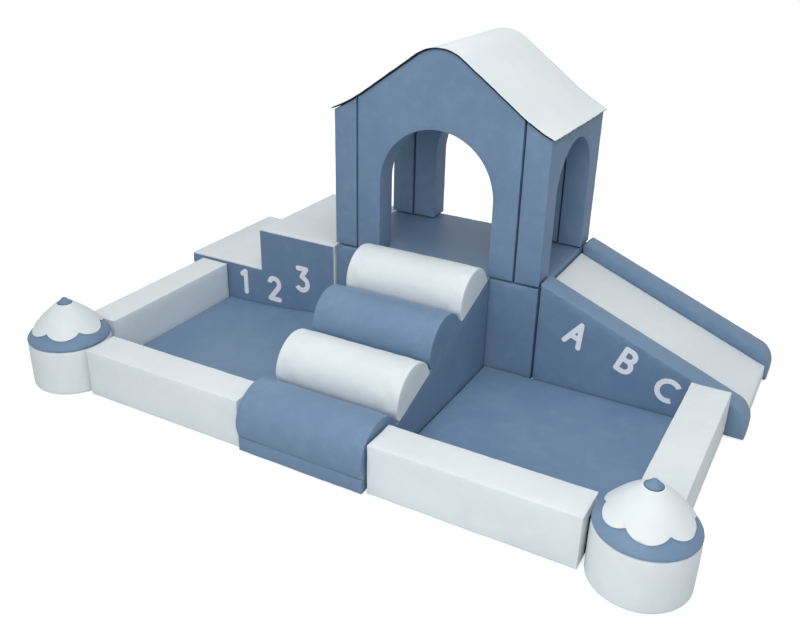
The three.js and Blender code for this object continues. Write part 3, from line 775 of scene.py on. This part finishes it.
def make_roof():
    low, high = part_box("roof_sheet")
    piece = roof_whole("roof_pad", ROOF_SHEET - ROOF_PAD, low.y, high.y)
    thick = piece.modifiers.new("thickness", "SOLIDIFY")
    thick.thickness = ROOF_PAD
    thick.offset = -1
    apply_modifier(piece, thick)
    edge_turn, edge_round = math.radians(60), 0.0024
    seams = find_seams(piece, edge_turn)
    round_seams(piece, edge_round, edge_turn, 3)
    cut_grid(piece, "y")
    smooth_once(piece)
    points = mesh_points(piece)
    over, along, _, _ = from_seams(points, seams, edge_round)
    x, y = points[:, 0], points[:, 1]
    from_eave = (ROOF_HALF_WIDTH - np.abs(x)) / math.cos(EAVE_PITCH)
    from_gable = ROOF_HALF_DEPTH - np.abs(y)
    # The free edges wave a little, and the corners curl up
    wave = wander(y + 3, 0.19, 5) * 0.0018 * np.exp(-np.maximum(from_eave, 0) / 0.06)
    wave += wander(x + 5, 0.16, 9) * 0.0009 * np.exp(-np.maximum(from_gable, 0) / 0.05)
    curl = 0.003 * np.exp(-np.maximum(from_eave, 0) / 0.05) * np.exp(-np.maximum(from_gable, 0) / 0.07)
    points[:, 2] += wave + curl
    pull = np.exp(-np.maximum(np.minimum(from_gable, from_eave) - 0.006, 0) / 0.025)
    sway = np.array([noise.noise(Vector(point) * 4.0) for point in points])
    points[:, 2] -= 0.0009 * pull * (1 + wander(1.7 * x + y + 5, 0.03, 31)) + 0.0008 * sway
    set_points(piece, points)
    dress(piece, white_vinyl, over, along, pull * 0.6)
    # Every face of the sheet that does not face up, its underside and its edge band, gets the dark finish
    piece.data.materials.append(roof_underside_finish)
    for face in piece.data.polygons:
        face.material_index = 0 if face.normal.z > 0.35 else 1
    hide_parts("roof_sheet")
    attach(piece, "roof")


def raise_part(block, step_x, rise):
    """Lifts the top of a block on the right of a place"""
    with editing(block):
        take_all()
        bpy.ops.mesh.bisect(plane_co=(step_x, 0, 0), plane_no=(1, 0, 0))
        bpy.ops.mesh.select_all(action="DESELECT")
        shape = bmesh.from_edit_mesh(block.data)
        choose(shape.faces, lambda face: face.normal.z > 0.9 and face.calc_center_median().x > step_x)
        bpy.ops.mesh.extrude_region_move(TRANSFORM_OT_translate={"value": (0, 0, rise)})


def make_steps():
    low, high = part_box("steps_block")
    block = foam_block("steps_cover", low, (high.x, high.y, LOW_TREAD))
    raise_part(block, STEP_RISER, high.z - LOW_TREAD)
    sew_cover(block, "steps_block", "steps", white_vinyl)
    low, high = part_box("steps_front_panel")
    border = low.z
    panel = foam_block("steps_front_cover", low, (high.x, high.y, LOW_TREAD - border))
    raise_part(panel, STEP_RISER + border, high.z - (LOW_TREAD - border))
    sew_cover(panel, "steps_front_panel", "steps", blue_vinyl, round_over=0.0009, puff=0.0, grid=0.03,
              axes="xz", fill=0.9, rows_on=lambda face: abs(face.normal.y) > 0.9)


def lower_edge(piece, wanted, drop):
    """Lets an edge of a block down, to make its top slope"""
    with editing(piece, "VERT") as shape:
        choose(shape.verts, wanted)
        bpy.ops.transform.translate(value=(0, 0, -drop))


def round_corner(piece, corner_x, corner_z, offset):
    """Rounds a corner of a block's outline, as seen from the front"""
    def at_corner(vert):
        return near(vert.co.x, corner_x, 1e-3) and near(vert.co.z, corner_z, 1e-3)

    with editing(piece, "EDGE") as shape:
        choose(shape.edges, lambda edge: all(at_corner(vert) for vert in edge.verts))
        bpy.ops.mesh.bevel(offset=offset, offset_type="OFFSET", segments=10, profile=0.5, affect="EDGES")


def make_slide():
    toe = RAIL_TOE_ROUND * math.tan((math.pi / 2 - math.atan(RAIL_SLOPE)) / 2)
    for node, name in (("slide_front_rail", "front_rail_cover"), ("slide_rear_rail", "rear_rail_cover")):
        low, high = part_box(node)
        rail = foam_block(name, low, (high.x, high.y, RAIL_HEAD))
        right = high.x
        lower_edge(rail, lambda v: v.co.z > RAIL_HEAD - 0.01 and v.co.x > right - 0.01, RAIL_HEAD - RAIL_TOE)
        round_corner(rail, right, RAIL_TOE, toe)
        if node == "slide_rear_rail":
            round_corner(rail, low.x, RAIL_HEAD, REAR_HEAD_ROUND)
        sew_cover(rail, node, "slide", blue_vinyl, round_over=RAIL_ROUND, room=RAIL_HEAD - high.z)
    low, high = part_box("slide_bed")
    bed = foam_block("slide_bed_cover", low, (high.x, high.y, BED_HEAD))
    drop = (high.x - low.x) * RAIL_SLOPE
    lower_edge(bed, lambda v: v.co.z > BED_HEAD - 0.01 and v.co.x > high.x - 0.01, drop)
    sew_cover(bed, "slide_bed", "slide", white_vinyl)


def make_climber():
    low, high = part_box("climb_wedge")
    wedge = foam_block("climb_wedge_cover", low, (high.x, high.y, CLIMBER_HEAD))
    rise, run = CLIMBER_HEAD - CLIMBER_TOE, high.y - low.y
    lower_edge(wedge, lambda v: v.co.z > CLIMBER_HEAD - 0.01 and v.co.y < low.y + 0.01, rise)
    sew_cover(wedge, "climb_wedge", "climber", blue_vinyl, round_over=WEDGE_ROUND)
    pitch, slope = math.atan2(rise, run), math.hypot(rise, run)
    chord = (slope - BARE_SLOPE - 3 * SEAT_GAP) / 4
    for i in range(4):
        start = i * (chord + SEAT_GAP)
        centre = Matrix.Rotation(pitch, 4, "X") @ Vector((0, start + chord / 2, SEAT_GAP))
        centre += Vector(((low.x + high.x) / 2, low.y, CLIMBER_TOE))
        select_only(None)
        bpy.ops.mesh.primitive_cylinder_add(
            vertices=72, radius=chord / 2, depth=high.x - low.x, rotation=(0, math.pi / 2, 0)
        )
        roller = settle(named(bpy.context.object, f"roller_{i + 1}_cover"))
        with editing(roller):
            take_all()
            bpy.ops.mesh.bisect(plane_co=(0, 0, 0), plane_no=(0, 0, 1), use_fill=True, clear_inner=True)
            take_all()
            bpy.ops.transform.resize(value=(1, 1, ROLLER_RISE / (chord / 2)), center_override=(0, 0, 0))
            bpy.ops.mesh.remove_doubles(threshold=1e-5)
            turn_faces_out()
        points = mesh_points(roller)  # the skirt tucks in below the round
        points[:, 1] *= 1 - SKIRT_TUCK * np.clip(1 - points[:, 2] / SKIRT_HEIGHT, 0, 1)
        set_points(roller, points)
        with editing(roller, "EDGE") as shape:
            choose(shape.edges, lambda edge: all(near(vert.co.z, 0) for vert in edge.verts))
            bpy.ops.mesh.mark_sharp()
            bpy.ops.transform.edge_crease(value=1)
        roller.rotation_euler = (pitch, 0, 0)
        roller.location = centre
        settle(roller)
        sew_cover(roller, f"climb_roller_{i + 1}", "climber", white_vinyl if i % 2 else blue_vinyl, axes="x",
                  round_over=WALL_ROUND, base=(centre, Matrix.Rotation(pitch, 3, "X") @ Vector((0, 0, 1))),
                  rows_on=lambda face: abs(face.normal.x) > 0.9, rows=(0.006,))


def make_pit_walls():
    for node, body in (
        ("pit_wall_left", "wall_left"), ("pit_wall_front_left", "wall_front_left"),
        ("pit_wall_front_right", "wall_front_right"), ("pit_wall_right", "wall_right"),
    ):
        wall = foam_block(node + "_cover", *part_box(node))
        sew_cover(wall, node, body, white_vinyl, round_over=WALL_ROUND)


def ride_up(points):
    """The left mat is a little large for its pit, so its rear corner rides up against the steps"""
    toward = np.clip((points[:, 0] - MAT_RISE_FROM) / MAT_RISE_RUN, 0, 1) ** 2
    return MAT_RISE * toward * np.exp(-np.maximum(MAT_CORNER_Y - points[:, 1], 0) / 0.15)


def make_mats():
    for node, body, side in (("floor_mat_left", "mat_left", -1), ("floor_mat_right", "mat_right", 1)):
        low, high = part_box(node)
        mat = foam_block(node + "_cover", low, high)
        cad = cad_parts[node].data.vertices
        outer_x = low.x if side < 0 else high.x
        front_y = low.y
        corner_y = min(v.co.y for v in cad if abs(v.co.x - outer_x) < 0.0005)
        corner_x = (min if side < 0 else max)(v.co.x for v in cad if abs(v.co.y - front_y) < 0.0005)
        across = Vector((corner_x - outer_x, front_y - corner_y, 0))
        square = Vector((across.y, -across.x, 0)).normalized()
        if square.dot(Vector((outer_x, front_y, 0)) - Vector((corner_x, front_y, 0))) < 0:
            square = -square
        with editing(mat):
            take_all()
            bpy.ops.mesh.bisect(
                plane_co=(corner_x, front_y, 0), plane_no=square, use_fill=True, clear_outer=True
            )
        sew_cover(mat, node, body, blue_vinyl, round_over=HOUSE_ROUND, puff=THIN_PUFF, grid=0.024,
                  rows_on=lambda face: abs(face.normal.z) > 0.9, lift=ride_up if side < 0 else None)


def ring_up(piece, rings, centre):
    """Turns a ring into a skin by extruding it ring by ring, to each next radius and height"""
    with editing(piece, "VERT"):
        take_all()
        for (radius, height), (next_radius, next_height) in zip(rings, rings[1:]):
            rise = next_height - height
            bpy.ops.mesh.extrude_region_move(TRANSFORM_OT_translate={"value": (0, 0, rise)})
            share = next_radius / radius
            middle = (centre.x, centre.y, next_height)
            bpy.ops.transform.resize(value=(share, share, 1), center_override=middle)


def first_ring(name, centre, radius, height, facets):
    select_only(None)
    bpy.ops.mesh.primitive_circle_add(vertices=facets, radius=radius, location=(centre.x, centre.y, height))
    return settle(named(bpy.context.object, name))


# The cone from the drum's rim to the foot of the tip: shares of the post's radius and the cone's height
CONE_SHARES = [
    (0.975, 0), (1, 0.03), (0.99, 0.075), (0.93, 0.14), (0.845, 0.215), (0.585, 0.495), (0.375, 0.668),
    (0.185, 0.818),
]


def cone_height_at(radius):
    radii = [share * POST_RADIUS for share, _ in CONE_SHARES[1:]][::-1]
    heights = [DRUM_TOP + SEAT_GAP + share * CONE_HEIGHT for _, share in CONE_SHARES[1:]][::-1]
    return float(np.interp(radius, radii, heights))


def turned_skin(name, rings, centre, facets):
    """A turned piece with its ends closed and all faces outwards"""
    skin = first_ring(name, centre, *rings[0], facets)
    ring_up(skin, rings, centre)
    with editing(skin, "EDGE"):
        bpy.ops.mesh.select_non_manifold()
        bpy.ops.mesh.edge_face_add()
        turn_faces_out()
    return skin


def fair_profile(rings, least=0.006):
    """More rings between the given ones, on a smooth line through them"""
    line = np.array(rings)
    ends = np.vstack([2 * line[0] - line[1], line, 2 * line[-1] - line[-2]])
    fair = [line[0]]
    for i in range(1, len(ends) - 2):
        before, start, end, after = ends[i - 1], ends[i], ends[i + 1], ends[i + 2]
        count = max(1, math.ceil(np.linalg.norm(end - start) / least))
        for k in range(1, count + 1):
            t = k / count
            square = 2 * before - 5 * start + 4 * end - after
            cube = 3 * start - before - 3 * end + after
            fair.append(0.5 * (2 * start + (end - before) * t + square * t**2 + cube * t**3))
    return [(max(float(r), 0.002), float(z)) for r, z in fair]


def turned_cover(piece, node, body, finish, seam_rings, centre, seed):
    """A turned piece of a post, with its round seams at the given radii and heights"""
    points = mesh_points(piece)
    out = np.hypot(points[:, 0] - centre.x, points[:, 1] - centre.y)
    angle = np.arctan2(points[:, 1] - centre.y, points[:, 0] - centre.x)
    over = np.min([np.hypot(out - r, points[:, 2] - z) for r, z in seam_rings], axis=0)
    along = (angle + math.pi) * POST_RADIUS
    pull = np.exp(-over / 0.018) * np.clip(out / 0.02, 0, 1)
    normals = mesh_normals(piece)
    ripple = 0.0006 * wander(along * 20 / 19.1, 0.03, seed) + 0.0007 * wander(along, 0.09, seed + 3)
    fade = np.clip((math.pi - np.abs(angle)) / 0.15, 0, 1)
    sway = np.array([noise.noise(Vector(point) * 6 + Vector((seed, 1, 0))) for point in points])
    depth = pull * (0.0008 + ripple * fade) + 0.0006 * (0.5 + 0.5 * sway)
    low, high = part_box(node)
    set_points(piece, np.clip(points - normals * depth[:, None], np.array(low), np.array(high)))
    dress(piece, finish, over, along, pull * fade)
    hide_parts(node)
    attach(piece, body)


def make_post(side, body, cap_turn):
    drum_low, drum_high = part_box(f"{side}_post_drum")
    centre = (drum_low + drum_high) / 2
    radius = (drum_high.x - drum_low.x) / 2
    facets = 128
    # Drum: a rounded foot, a slight belly and a pinched top under the rim's seam
    foot = [
        (radius * 0.12, 0.0002), (radius * 0.5, 0.0002), (radius * 0.8, 0.0003), (radius - 0.016, 0.0006),
        (radius - 0.0075, 0.002), (radius - 0.0025, 0.0065), (radius - 0.0004, 0.014),
    ]
    belly = [
        (radius - 0.0004 + 0.0003 * math.sin(k / 9 * math.pi), 0.014 + 0.0226 * k) for k in range(1, 9)
    ]
    rim = [(radius - 0.0022, 0.2295), (radius - 0.0052, 0.2335), (radius - 0.010, DRUM_TOP - 0.0006),
           (radius * 0.7, DRUM_TOP - 0.0003), (radius * 0.12, DRUM_TOP - 0.0003)]
    drum = turned_skin(f"{side}_drum_cover", fair_profile(foot + belly + rim), centre, facets)
    turned_cover(drum, f"{side}_post_drum", body, white_vinyl,
                 [(radius - 0.004, 0.2325), (radius - 0.008, 0.002)], centre, 11)
    # Cone: its rim bulges over the drum, then it runs up to the foot of the tip
    foot_z = DRUM_TOP + SEAT_GAP
    profile = [(0.020, foot_z + 0.0004), (0.120, foot_z + 0.0004), (0.175, foot_z + 0.0005),
               (0.191, foot_z + 0.0010), (0.1970, foot_z + 0.0035), (0.1990, foot_z + 0.0075),
               (0.1975, foot_z + 0.0125), (0.1935, foot_z + 0.0185), (0.1868, foot_z + 0.0275)]
    up_cone = (0.178, 0.165, 0.150, 0.133, 0.117, 0.100, 0.084, 0.068, 0.052, 0.038)
    profile += [(r, cone_height_at(r) + 0.0002) for r in up_cone]
    profile += [(0.020, cone_height_at(0.037) - 0.0001)]
    cone = turned_skin(f"{side}_cone_cover", fair_profile(profile), centre, facets)
    turned_cover(cone, f"{side}_post_cone", body, blue_vinyl, [(0.196, foot_z + 0.003)], centre, 17)
    make_cap(side, body, centre, cap_turn)
    # Tip: a small soft point
    tip_z = cone_height_at(0.037) + SEAT_GAP
    tip = [(0.012, tip_z + 0.0002), (0.027, tip_z + 0.0002), (0.0325, tip_z + 0.0013),
           (0.0334, tip_z + 0.0040), (0.0305, tip_z + 0.0085), (0.0245, tip_z + 0.0135),
           (0.0190, tip_z + 0.0190), (0.0140, tip_z + 0.0250), (0.0085, tip_z + 0.0295),
           (0.0030, tip_z + 0.0312)]
    point = turned_skin(f"{side}_tip_cover", fair_profile(tip, 0.003), centre, 64)
    turned_cover(point, f"{side}_post_tip", body, blue_vinyl, [(0.0335, tip_z + 0.002)], centre, 23)


def make_cap(side, body, centre, cap_turn):
    """The white cap: a padded skirt over the cone, cut into lobes with cusps between them"""
    node = f"{side}_post_cap"
    notch, lobe, facets = CAP_NOTCH, CAP_LOBE, 144
    flare_from = 0.094  # inside this radius the cap is round
    radii = [0.0355, 0.0405, 0.052, 0.066, 0.080, flare_from, 0.108, 0.120, 0.131, 0.141, notch]
    rings = [(r, cone_height_at(r) + SKIN) for r in radii]
    cap = first_ring(f"{side}_cap_cover", centre, *rings[0], facets)
    ring_up(cap, rings, centre)
    points = mesh_points(cap)
    dx, dy = points[:, 0] - centre.x, points[:, 1] - centre.y
    out, angle = np.hypot(dx, dy), np.arctan2(dx, -dy)
    swing = np.abs(np.sin(CAP_LOBES / 2 * (angle - math.pi / 2 - cap_turn)))
    reach = notch + (lobe - notch) * swing**0.72
    share = np.clip((out - flare_from) / (notch - flare_from), 0, 1)
    target = out + share**1.4 * (reach - notch)
    points[:, 0] = centre.x + dx / out * target
    points[:, 1] = centre.y + dy / out * target
    points[:, 2] = [cone_height_at(r) + SKIN for r in target]
    set_points(cap, points)
    thick = cap.modifiers.new("thickness", "SOLIDIFY")
    thick.thickness = CAP_PAD
    thick.offset = 1
    thick.use_even_offset = False
    with editing(cap):
        turn_faces_out()
    if cap.data.polygons[0].normal.z < 0:
        with editing(cap):
            take_all()
            bpy.ops.mesh.flip_normals()
    apply_modifier(cap, thick)
    edge_turn, edge_round = math.radians(50), 0.0022
    seams = find_seams(cap, edge_turn)
    with editing(cap, "EDGE") as shape:
        choose(shape.edges, lambda e: len(e.link_faces) == 2 and e.calc_face_angle(0.0) > edge_turn)
        bpy.ops.mesh.bevel(offset=edge_round, segments=2, profile=0.5, affect="EDGES")
    smooth_once(cap)
    points, normals = mesh_points(cap), mesh_normals(cap)
    over, along, _, _ = from_seams(points, seams, edge_round)
    row = 0.0095  # of stitches, in from the cap's edge
    groove = np.exp(-((over - row) / 0.003) ** 2) * (normals[:, 2] > 0.2)
    points -= normals * (0.0011 * groove)[:, None]
    low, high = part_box(node)
    set_points(cap, np.clip(points, np.array(low), np.array(high)))
    dress(cap, white_vinyl, over, along, np.exp(-np.abs(over - row) / 0.008))
    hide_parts(node)
    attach(cap, body)


make_roof()
make_post("left", "post_left", math.radians(-22))
make_post("right", "post_right", math.radians(12))
make_platform()
make_house()
make_steps()
make_slide()
make_climber()
make_pit_walls()
make_mats()
for made in covers:
    draw_in(made)
blow_up(covers)
for number, made in enumerate(covers):
    finish_cover(made, 3 * number + 1)
clear_shelf()

# The strips and the sewn digits and letters keep their CAD shapes
for name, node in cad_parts.items():
    if name.startswith("strip_"):
        node.data.materials.clear()
        node.data.materials.append(grip_tape)
    elif name.startswith(("digit_", "letter_")):
        node.data.materials.clear()
        node.data.materials.append(mark_vinyl)


# Floor, light and camera
def make_floor():
    select_only(None)
    bpy.ops.mesh.primitive_plane_add(size=80, location=(0, 0, -0.0005))
    floor = named(bpy.context.object, "pale_floor")
    material, nodes, skin = new_material("pale_floor_paint", "")
    seen = nodes.add("LightPath").outputs["Is Camera Ray"]
    skin.inputs["Base Color"].default_value = linear(222, 224, 226)
    skin.inputs["Roughness"].default_value = 0.9
    skin.inputs["Specular IOR Level"].default_value = 0.1
    skin.inputs["Emission Color"].default_value = (1, 1, 1, 1)
    material.node_tree.links.new(nodes.math("MULTIPLY", seen, 0.62), skin.inputs["Emission Strength"])
    floor.data.materials.append(material)


def soft_lamp(name, place, aim, size, power, colour=(1, 1, 1)):
    lamp = bpy.data.lights.new(name, "AREA")
    lamp.shape = "DISK"
    lamp.size = size
    lamp.energy = power
    lamp.color = colour
    holder = bpy.data.objects.new(name, lamp)
    holder.location = place
    holder.rotation_euler = (Vector(aim) - Vector(place)).to_track_quat("-Z", "Y").to_euler()
    bpy.context.scene.collection.objects.link(holder)


def make_light():
    world = bpy.data.worlds.new("pale_studio")
    world.use_nodes = True
    world.node_tree.nodes.clear()
    nodes = Nodes(world.node_tree)
    path = nodes.add("LightPath")
    seen = nodes.math("ADD", path.outputs["Is Camera Ray"], path.outputs["Is Glossy Ray"], clamp=True)
    seen = nodes.math("ADD", seen, path.outputs["Is Transmission Ray"], clamp=True)
    strength = nodes.math("ADD", nodes.math("MULTIPLY", seen, 1 - AMBIENT), AMBIENT)
    sky = nodes.add("Background", Color=(1, 1, 1, 1), Strength=strength)
    output = nodes.add("OutputWorld")
    world.node_tree.links.new(sky.outputs[0], output.inputs["Surface"])
    bpy.context.scene.world = world
    soft_lamp("overhead_softbox", (0.6, -1.2, 4.8), (0.4, -0.5, 0.3), 4.2, 74)
    soft_lamp("front_softbox", (1.25, -4.7, 3.3), (0.4, -0.8, 0.6), 3.0, 84)


def make_camera():
    """Where the photograph was taken from, fitted to the object's corners in it"""
    place = (1.8708, -4.1687, 2.2749)
    focal_pixels, picture_width = 879.99, 800
    yaw, pitch, roll = math.radians(28.457), math.radians(26.182), math.radians(1.221)
    ahead = Vector((-math.sin(yaw) * math.cos(pitch), math.cos(yaw) * math.cos(pitch), -math.sin(pitch)))
    across = Vector((math.cos(yaw), math.sin(yaw), 0))
    upward = across.cross(ahead)
    right = math.cos(roll) * across + math.sin(roll) * upward
    above = -math.sin(roll) * across + math.cos(roll) * upward
    lens = bpy.data.cameras.new("photo_camera")
    lens.sensor_fit = "HORIZONTAL"
    lens.sensor_width = 36
    lens.lens = focal_pixels / picture_width * 36
    lens.clip_end = 200
    camera = bpy.data.objects.new("photo_camera", lens)
    turn = Matrix((right, above, -ahead)).transposed().to_4x4()
    camera.matrix_world = Matrix.Translation(place) @ turn
    bpy.context.scene.collection.objects.link(camera)
    bpy.context.scene.camera = camera


make_floor()
make_light()
make_camera()
bpy.context.scene.view_settings.view_transform = "Standard"
